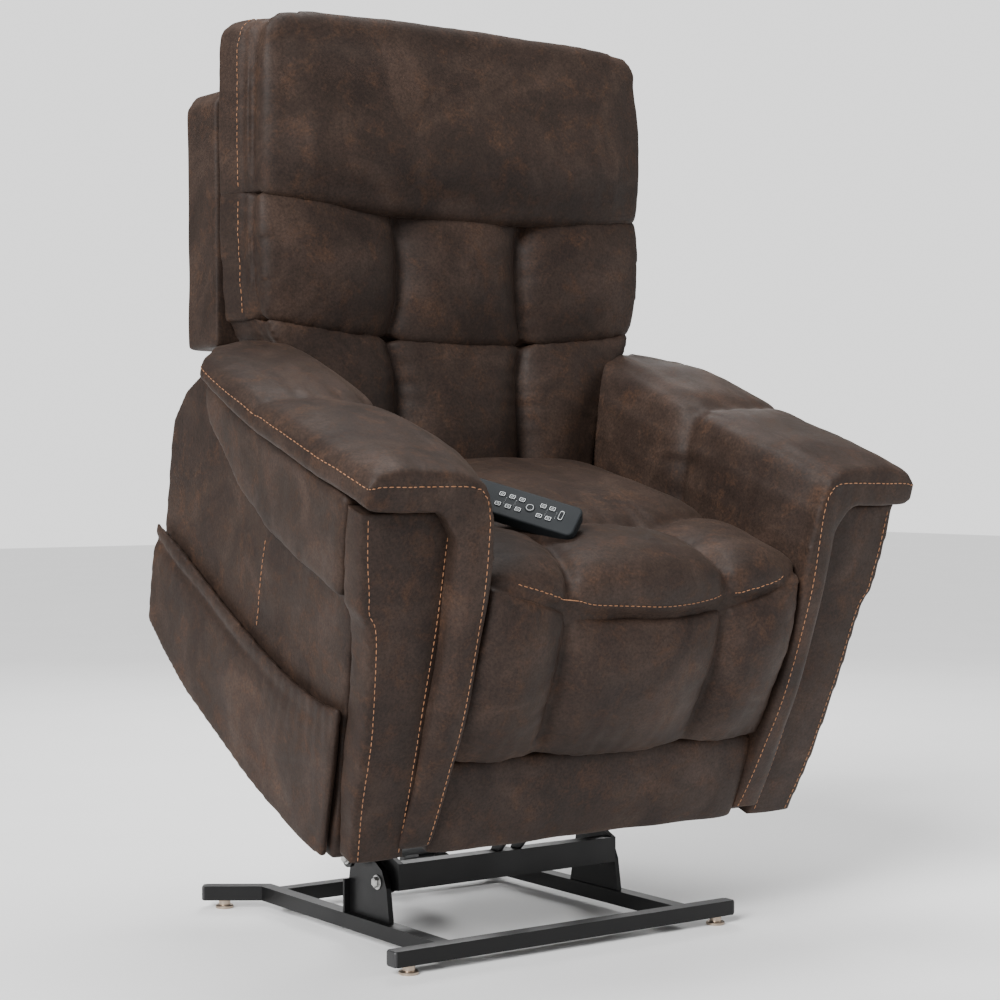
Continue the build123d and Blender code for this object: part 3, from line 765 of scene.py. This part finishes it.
def flared(co):
    """The side leans out towards the top, less so at the rear."""
    co = co.copy()
    rear = fade(co[:, V], 0.05, 0.45)
    co[:, X] += (co[:, W] - HEM_W) * FLARE * (1 - FLARE_LOST_AT_REAR * rear)
    return co


def bow(w):
    """The arm's inner roll bulges forward between its ends."""
    size, low, height = 0.033, 0.170, 0.510
    return size * np.sin(math.pi * np.clip((w - low) / height, 0, 1))


def front_v(w):
    """How far back the arm's front face is at a height."""
    foot_v, lean = 0.034, 0.052
    return foot_v + (w - HEM_W) * lean - PANEL_BOW * bow(w)


def above_wing(co, normal):
    """The side's outer face, above the wing's seam."""
    return outward(co, normal) * fade(co[:, W] - read(WING, co[:, V]), -0.004, 0.01)


def side_cover(side, mirror):
    rear = [(0.655, 0.343), (0.668, 0.402), (0.684, 0.506), (0.686, 0.560), (0.660, 0.610),
            (0.600, 0.668), (0.560, 0.690), (0.45, 0.660), (0.098, 0.652)]
    wing = WING + [(0.560, 0.656), (0.092, 0.656)]
    soft = Soft(f"side_cover_{side}", [prism("x", HEM + rear, 0.300, 0.392),
                                       prism("x", wing, 0.385, 0.413)], smooth=6)
    crease = path([(0.400, v, w) for v, w in WING])
    soft.crease(crease, depth=0.005, width=0.008, puckers=0.0007, seed=10)
    soft.puff([crease], height=0.009, reach=0.040, where=above_wing)
    soft.co = flared(soft.co)
    seam = path([(0.430, 0.352, 0.500), (0.424, 0.346, 0.440), (0.417, 0.338, 0.350)])
    soft.crease(seam, depth=0.0045, width=0.007, puckers=0.0012, seed=11)
    soft.ripple(0.0011, seed=12 + mirror)
    return soft.finish(seat, "seat_frame", [f"side_panel_{side}"], 0.7, mirror)


def pocket_cover(side, mirror):
    hem = [(0.080, 0.153)] + [(v, w + 0.003) for v, w in HEM[1:]]
    soft = Soft(f"pocket_cover_{side}", [prism("x", hem + MOUTH, 0.397, 0.4055)], smooth=3, voxel=0.004)
    soft.co = flared(soft.co)
    hem_depth = 0.024
    mouth = path([(0.413, v, w) for v, w in MOUTH])
    seam = path([(0.411, v, w - hem_depth) for v, w in MOUTH])
    soft.puff([mouth, seam], height=0.003, reach=0.010, where=outward)
    soft.crease(seam, depth=0.0036, width=0.005, puckers=0.0008, seed=13)
    soft.ripple(0.0012, seed=14 + mirror)
    soft.finish(seat, "seat_frame", [f"pocket_panel_{side}"], 0.3, mirror)


def front_cover(side, mirror):
    soft = Soft(f"arm_front_cover_{side}", [prism("v", FRONT_OUT + FRONT_IN, 0.0, FRONT_DEPTH)],
                smooth=7, voxel=FINE_VOXEL)
    co = soft.co
    co[:, V] = front_v(co[:, W]) + co[:, V] * (1 + PANEL_BOW * bow(co[:, W]) / FRONT_DEPTH)
    soft.co = co
    edges = [path([(x, front_v(w), w) for x, w in outline]) for outline in (FRONT_OUT, FRONT_IN)]
    soft.puff(edges, height=0.004, reach=0.03, where=front_only)
    soft.ripple(0.0009, seed=15 + mirror)
    return soft.finish(seat, "seat_frame", [f"arm_front_{side}"], 0.6, mirror)


ARM_START, ARM_END = 0.04, 0.56
ARM_SECTION = [(0.268, 0.180), (0.266, 0.50), (0.264, 0.60), (0.268, 0.655), (0.285, 0.690), (0.318, 0.706),
               (0.37, 0.711), (0.43, 0.711), (0.464, 0.704), (0.475, 0.692), (0.475, 0.662), (0.455, 0.657),
               (0.36, 0.657), (0.322, 0.62), (0.318, 0.180)]
# How far back the arm's front and the roll's rear are at a height, and the arm top's rear across it.
ARM_FRONT = [(0.168, 0.030), (0.40, 0.034), (0.56, 0.034), (0.62, 0.032), (0.66, 0.031), (0.70, 0.034),
             (0.72, 0.040)]
ROLL_REAR = [(0.18, 0.54), (0.245, 0.55), (0.42, 0.64), (0.52, 0.66), (0.60, 0.655), (0.66, 0.60),
             (0.72, 0.56)]
TOP_REAR = [(0.35, 0.575), (0.42, 0.560), (0.455, 0.530), (0.48, 0.490)]
ARM_BAND = [(0.300, 0.034, 0.708), (0.36, 0.031, 0.705), (0.45, 0.030, 0.703), (0.470, 0.034, 0.702),
            (0.478, 0.055, 0.701), (0.480, 0.20, 0.698), (0.480, 0.40, 0.698), (0.479, 0.48, 0.702),
            (0.462, 0.525, 0.706), (0.41, 0.548, 0.708)]
ARM_CREASE = [(0.476, 0.340, 0.700), (0.450, 0.334, 0.716), (0.400, 0.326, 0.722), (0.340, 0.328, 0.722),
              (0.290, 0.332, 0.712), (0.268, 0.322, 0.680), (0.262, 0.306, 0.630), (0.262, 0.298, 0.570)]


def arm_top(co, normal):
    """The upward faces of the arm's top."""
    return facing(normal, Z, 1.3, -0.05) * fade(co[:, W], 0.66, 0.02)


def arm_inside(co, normal):
    """The roll's inner face, fading out at its foot and its front."""
    return facing(normal, X, -1.3) * fade(co[:, W], 0.50, 0.06) * fade(co[:, V], 0.06, 0.08)


def roll_front(co, normal):
    """The roll's front face, fading out at its foot and at the front panel."""
    return facing(normal, Y, -1.3) * fade(co[:, W], 0.30, 0.25) * fade(co[:, X], 0.33, -0.02)


def wrapped(co):
    """Stretches the straight arm to its curved front and rear, and draws its corners in."""
    co = co.copy()
    inner = fade(co[:, X], 0.350, -0.05)
    front = read(ARM_FRONT, co[:, W]) - inner * bow(co[:, W])
    rear = read(ROLL_REAR, co[:, W]) * inner + (1 - inner) * read(TOP_REAR, co[:, X])
    share = (co[:, V] - ARM_START) / (ARM_END - ARM_START)
    co[:, V] = front + share * (rear - front)
    near_front = 1 - fade(co[:, V], ARM_START, 0.16)
    roll_foot, roll_lean, most_lean = 0.17, 0.030, 0.015
    co[:, X] += inner * near_front * np.clip((co[:, W] - roll_foot) * roll_lean, 0, most_lean)
    rear_end = fade(co[:, V], 0.315, 0.21)
    outer_edge = fade(co[:, W], 0.700, -0.03) * fade(co[:, X], 0.36, 0.06)
    edge_lift = 0.022
    co[:, W] += outer_edge * rear_end**1.5 * edge_lift
    return co


def wrap_cover(side, mirror):
    """Arm top, its padded edge, and the roll down the inside and front."""
    soft = Soft(f"arm_pad_cover_{side}", [prism("v", ARM_SECTION, ARM_START, ARM_END)], smooth=8)
    soft.co = wrapped(soft.co)
    band, crease = path(ARM_BAND), path(ARM_CREASE)
    roll = path([(0.33, 0.03 - bow(w), w) for w in np.linspace(0.2, 0.7, 9)], 0.05)
    soft.puff([band, crease], height=0.011, reach=0.045, where=arm_top)
    soft.puff([crease], height=0.009, reach=0.050, where=arm_inside)
    soft.puff([roll], height=0.008, reach=0.035, where=roll_front)
    soft.crease(crease, depth=0.009, width=0.013, puckers=0.0018, seed=17)
    soft.crease(band, depth=0.0022, width=0.006, puckers=0.0010, seed=18)
    soft.ripple(0.0014, seed=19 + mirror)
    return soft.finish(seat, "seat_frame", [f"arm_inner_{side}", f"arm_cap_{side}"], 0.8, mirror)


SIDE_THREAD = [(0.438, 0.358, 0.498), (0.434, 0.354, 0.445), (0.428, 0.346, 0.362)]
CAP_THREAD = [(0.481, 0.028, 0.693), (0.466, 0.018, 0.694), (0.45, 0.018, 0.695), (0.36, 0.018, 0.696),
              (0.320, 0.018, 0.695), (0.302, 0.018, 0.688)]
CAP_SIDE_THREAD = [(0.487, 0.032, 0.692), (0.489, 0.050, 0.691), (0.49, 0.20, 0.688), (0.49, 0.40, 0.689),
                   (0.488, 0.47, 0.694), (0.478, 0.512, 0.700)]
ROLL_THREAD = [(0.292, 0.668), (0.289, 0.62), (0.287, 0.55), (0.283, 0.42), (0.278, 0.28), (0.275, 0.172)]
INNER_THREAD = [(0.330, 0.650), (0.330, 0.55), (0.330, 0.42), (0.327, 0.32), (0.318, 0.20), (0.315, 0.168)]
# The front panel's outer stitching runs inside its edge: this far at its five lower points, then further.
INSET, INSET_ABOVE, LOWER_POINTS = 0.011, 0.012, 5


def arm_threads(side, mirror, side_piece, front_piece, wrap_piece):
    ahead, roll_v = 0.01, 0.020
    outer = [(x - INSET, w) for x, w in FRONT_OUT[:LOWER_POINTS]]
    outer += [(x - INSET_ABOVE, w) for x, w in FRONT_OUT[LOWER_POINTS:]]
    rows = (
        ("arm_cap_thread", wrap_piece,
         [CAP_THREAD + [(x, roll_v - bow(w), w) for x, w in ROLL_THREAD], CAP_SIDE_THREAD]),
        ("arm_front_thread", front_piece,
         [[(x, front_v(w) - ahead, w) for x, w in line] for line in (outer, INNER_THREAD)]),
        ("side_thread", side_piece, [SIDE_THREAD]),
    )
    for name, cover, lines in rows:
        stitches(f"{name}_{side}", cover, [seat(flip(line, mirror)) for line in lines], "seat_frame")


def build_arms():
    for side, mirror in (("left", False), ("right", True)):
        side_piece = side_cover(side, mirror)
        pocket_cover(side, mirror)
        front_piece = front_cover(side, mirror)
        wrap_piece = wrap_cover(side, mirror)
        arm_threads(side, mirror, side_piece, front_piece, wrap_piece)


# ---------------------------------------------------------------- handset
def rounded(half_x, half_y, radius, lean=0.0, count=5):
    """Outline of a rounded, slightly leaning rectangle."""
    points = []
    for quarter, (sx, sy) in enumerate(((1, 1), (-1, 1), (-1, -1), (1, -1))):
        for i in range(count):
            angle = math.radians(90 * quarter + 90 * i / (count - 1))
            x = sx * (half_x - radius) + radius * math.cos(angle)
            y = sy * (half_y - radius) + radius * math.sin(angle)
            points.append((x + lean * y, y))
    return points


MARK_HEIGHT = 0.0003
MARK_SUNK = 0.0001


def outline_ring(name, outer, width, place, body):
    """A thin raised outline round a closed shape, as printed round a key."""
    outer = np.array(outer)
    centre = outer.mean(0)
    inner = centre + (outer - centre) * (1 - width / np.linalg.norm(outer - centre, axis=1))[:, None]
    n = len(outer)
    verts = []
    for z in (0.0, MARK_HEIGHT):
        for loop in (outer, inner):
            verts += [place @ Vector((x, y, z)) for x, y in loop]
    faces = []
    for i in range(n):
        j = (i + 1) % n
        faces += [(i, j, n + j, n + i), (2 * n + i, 3 * n + i, 3 * n + j, 2 * n + j),
                  (i, 2 * n + i, 2 * n + j, j), (n + i, n + j, 3 * n + j, 3 * n + i)]
    piece = add_mesh(name, verts, faces)
    recalc(piece)
    dress(piece, MARKING, body)


# The handset's own axes: x along it, y across, z out of its face.
HANDSET_PLACE = (
    Matrix.Translation((0, SHIFT, 0))
    @ Matrix.Rotation(TIP, 4, "X")
    @ Matrix.Translation((-0.1125, 0.1685, 0.5975))
    @ Matrix.Rotation(math.radians(-53.5), 4, "Z")
    @ Matrix.Rotation(math.radians(38.0), 4, "X")
)
KEY_COLUMNS = (-0.044, -0.029, -0.0145, 0.0165, 0.030)
DIVIDER_COLUMNS = (-0.0365, -0.0218, 0.0233, 0.0378)
KEY_ROW = 0.0086
KEY_TOP = 0.0210
CASE_TOP = 0.0200
SYMBOL_LEAN = 0.25
LIGHT_KEY_X, LIGHT_KEY_Y = 0.045, 0.002


def on_handset(x, y, z):
    return HANDSET_PLACE @ Matrix.Translation((x, y, z - MARK_SUNK))


def build_handset():
    key_shape = rounded(0.0040, 0.0030, 0.0012)
    for number, column in enumerate(KEY_COLUMNS, 1):
        for word, sign in (("up", 1), ("down", -1)):
            place = on_handset(column, sign * KEY_ROW, KEY_TOP)
            name = f"key_{number:02d}_{word}"
            symbol = rounded(0.0014, 0.0011, 0.0004, sign * SYMBOL_LEAN)
            outline_ring(name + "_outline", key_shape, 0.0007, place, name + "_body")
            outline_ring(name + "_symbol", symbol, 0.0004, place, name + "_body")
    outline_ring("key_light_outline", rounded(0.0029, 0.0073, 0.0020), 0.0007,
                 on_handset(LIGHT_KEY_X, LIGHT_KEY_Y, KEY_TOP), "key_light_body")
    outline_ring("key_home_outline", rounded(0.0052, 0.0052, 0.0051), 0.0005,
                 on_handset(0, 0, KEY_TOP), "key_home_body")
    for number, column in enumerate(DIVIDER_COLUMNS, 1):
        outline_ring(f"handset_divider_{number}", rounded(0.0004, 0.0052, 0.0002), 0.0003,
                     on_handset(column, 0, CASE_TOP), "handset")


# ---------------------------------------------------------------- metalwork
def turned(name, profile, place, body, sides=24):
    """A turned zinc piece: (radius, height) rings about its own z axis."""
    verts = []
    for radius, z in profile:
        verts += [place @ Vector((radius * math.cos(2 * math.pi * i / sides),
                                  radius * math.sin(2 * math.pi * i / sides), z)) for i in range(sides)]
    piece = add_mesh(name, verts, ring_faces(len(profile), sides))
    recalc(piece)
    dress(piece, ZINC, body)


PLUG_HALF = 0.0112
PLUG_RADIUS = 0.003
PLUG_DOME = 0.004
# A plug's layers: scale and height, from inside the tube to the top of the dome.
PLUG_LAYERS = ((0.80, -0.012), (0.80, -0.0002), (1.0, 0.0), (1.0, PLUG_DOME * 0.6), (0.90, PLUG_DOME),
               (0.55, PLUG_DOME * 1.1))


def plug(name, centre, heading):
    """A moulded cap in the open end of a square tube, pointing along a heading in plan."""
    place = (Matrix.Translation(centre) @ Matrix.Rotation(heading, 4, "Z")
             @ Matrix.Rotation(math.radians(90), 4, "Y"))
    loop = rounded(PLUG_HALF, PLUG_HALF, PLUG_RADIUS)
    verts = [place @ Vector((x * scale, y * scale, z)) for scale, z in PLUG_LAYERS for x, y in loop]
    piece = add_mesh(name, verts, ring_faces(len(PLUG_LAYERS), len(loop)))
    recalc(piece)
    dress(piece, MOTOR_PLASTIC, "base")


def bolt(name, spot, side, radius):
    """A domed hexagon bolt head with its washer, facing out to one side."""
    x, y, z = spot
    place = Matrix.Translation((side * x, y + SHIFT, z)) @ Matrix.Rotation(math.radians(90 * side), 4, "Y")
    turned(name + "_washer", [(radius * 1.35, 0.0), (radius * 1.35, 0.0012), (radius * 1.2, 0.0016)],
           place, "base")
    turned(name, [(radius, 0.0014), (radius, 0.0050), (radius * 0.86, 0.0062), (radius * 0.5, 0.0066)],
           place, "base", sides=6)


TUBE_Z = 0.024
ARM_PIVOT = (0.2122, 0.190, 0.090)
LINK_PIVOT = (0.2332, 0.240, 0.120)
# The rear crossbar's ends splay from these corners, by this length and angle.
SPLAY_X, SPLAY_Y = 0.2125, 0.512
SPLAY_REACH = 0.095
SPLAY_ANGLE = math.radians(35.0)


def build_metalwork():
    low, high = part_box("front_crossbar")
    for side, word in ((-1, "right"), (1, "left")):
        plug(f"front_plug_{word}", (side * high.x, (low.y + high.y) / 2, TUBE_Z),
             0.0 if side > 0 else math.pi)
        x = SPLAY_X + SPLAY_REACH * math.cos(SPLAY_ANGLE)
        y = SPLAY_Y + SPLAY_REACH * math.sin(SPLAY_ANGLE) + SHIFT
        plug(f"rear_plug_{word}", (side * x, y, TUBE_Z), SPLAY_ANGLE if side > 0 else math.pi - SPLAY_ANGLE)
        bolt(f"arm_pivot_bolt_{word}", ARM_PIVOT, side, radius=0.008)
        bolt(f"link_pivot_bolt_{word}", LINK_PIVOT, side, radius=0.007)


# ---------------------------------------------------------------- room and camera
def add_object(name, data):
    made = bpy.data.objects.new(name, data)
    bpy.context.scene.collection.objects.link(made)
    return made


def aim(made, way):
    """Turns a lamp or camera to look along a direction."""
    made.rotation_euler = Vector(way).to_track_quat("-Z", "Y").to_euler()


def build_floor():
    size = 14.0
    mesh = bpy.data.meshes.new("floor")
    mesh.from_pydata([(-size, -size, 0), (size, -size, 0), (size, size, 0), (-size, size, 0)], [],
                     [(0, 1, 2, 3)])
    floor = add_object("floor", mesh)
    mat, node, join, shader = new_material("pale_floor")
    grain = node("TexNoise", {"Vector": node("TexCoord").outputs["Object"], "Scale": 3.0}).outputs["Fac"]
    join(ramp(node, grain, (0.3, (0.88, 0.88, 0.88)), (0.7, (0.90, 0.90, 0.90))), "Base Color")
    shader.inputs["Roughness"].default_value = 0.75
    floor.data.materials.append(mat)


def build_world():
    """A white backdrop, seen brighter than it lights the chair, as in a studio cut-out."""
    seen_extra, lighting = 1.3, 0.33
    world = bpy.data.worlds.new("studio")
    bpy.context.scene.world = world
    world.use_nodes = True
    nodes, links = world.node_tree.nodes, world.node_tree.links
    background = nodes["Background"]
    background.inputs["Color"].default_value = (1.0, 1.0, 1.0, 1)
    seen = nodes.new("ShaderNodeLightPath").outputs["Is Camera Ray"]
    strength = nodes.new("ShaderNodeMath")
    strength.operation = "MULTIPLY_ADD"
    strength.inputs[1].default_value = seen_extra
    strength.inputs[2].default_value = lighting
    links.new(seen, strength.inputs[0])
    links.new(strength.outputs[0], background.inputs["Strength"])


def build_lights():
    key = bpy.data.lights.new("key", "SUN")
    key.energy = 6.0
    key.angle = math.radians(26.0)
    aim(add_object("key", key), (3.0, 1.5, -2.1))
    for name, spot, target, size, power in (
        ("fill", (2.8, -2.4, 1.6), (0, 0, 0.6), 1.6, 22.0),
        ("top", (0.1, 0.2, 3.6), (0, 0, 0.6), 1.3, 80.0),
        ("rear", (1.8, 2.8, 2.4), (0, 0, 0.8), 1.4, 60.0),
    ):
        lamp = bpy.data.lights.new(name, "AREA")
        lamp.shape = "SQUARE"
        lamp.size = size
        lamp.energy = power
        lamp_object = add_object(name, lamp)
        lamp_object.location = spot
        aim(lamp_object, Vector(target) - Vector(spot))


def build_camera():
    data = bpy.data.cameras.new("camera")
    data.lens = 78.55
    data.sensor_width = 36.0
    camera = add_object("camera", data)
    camera.location = (-1.888, -2.457 + SHIFT, 0.693)
    heading, pitch = math.radians(35.57), math.radians(0.98)
    aim(camera, (math.sin(heading) * math.cos(pitch), math.cos(heading) * math.cos(pitch),
                 -math.sin(pitch)))
    bpy.context.scene.camera = camera


build_floor()
build_world()
build_lights()
build_camera()
build_back()
build_seat()
build_arms()
build_handset()
build_metalwork()
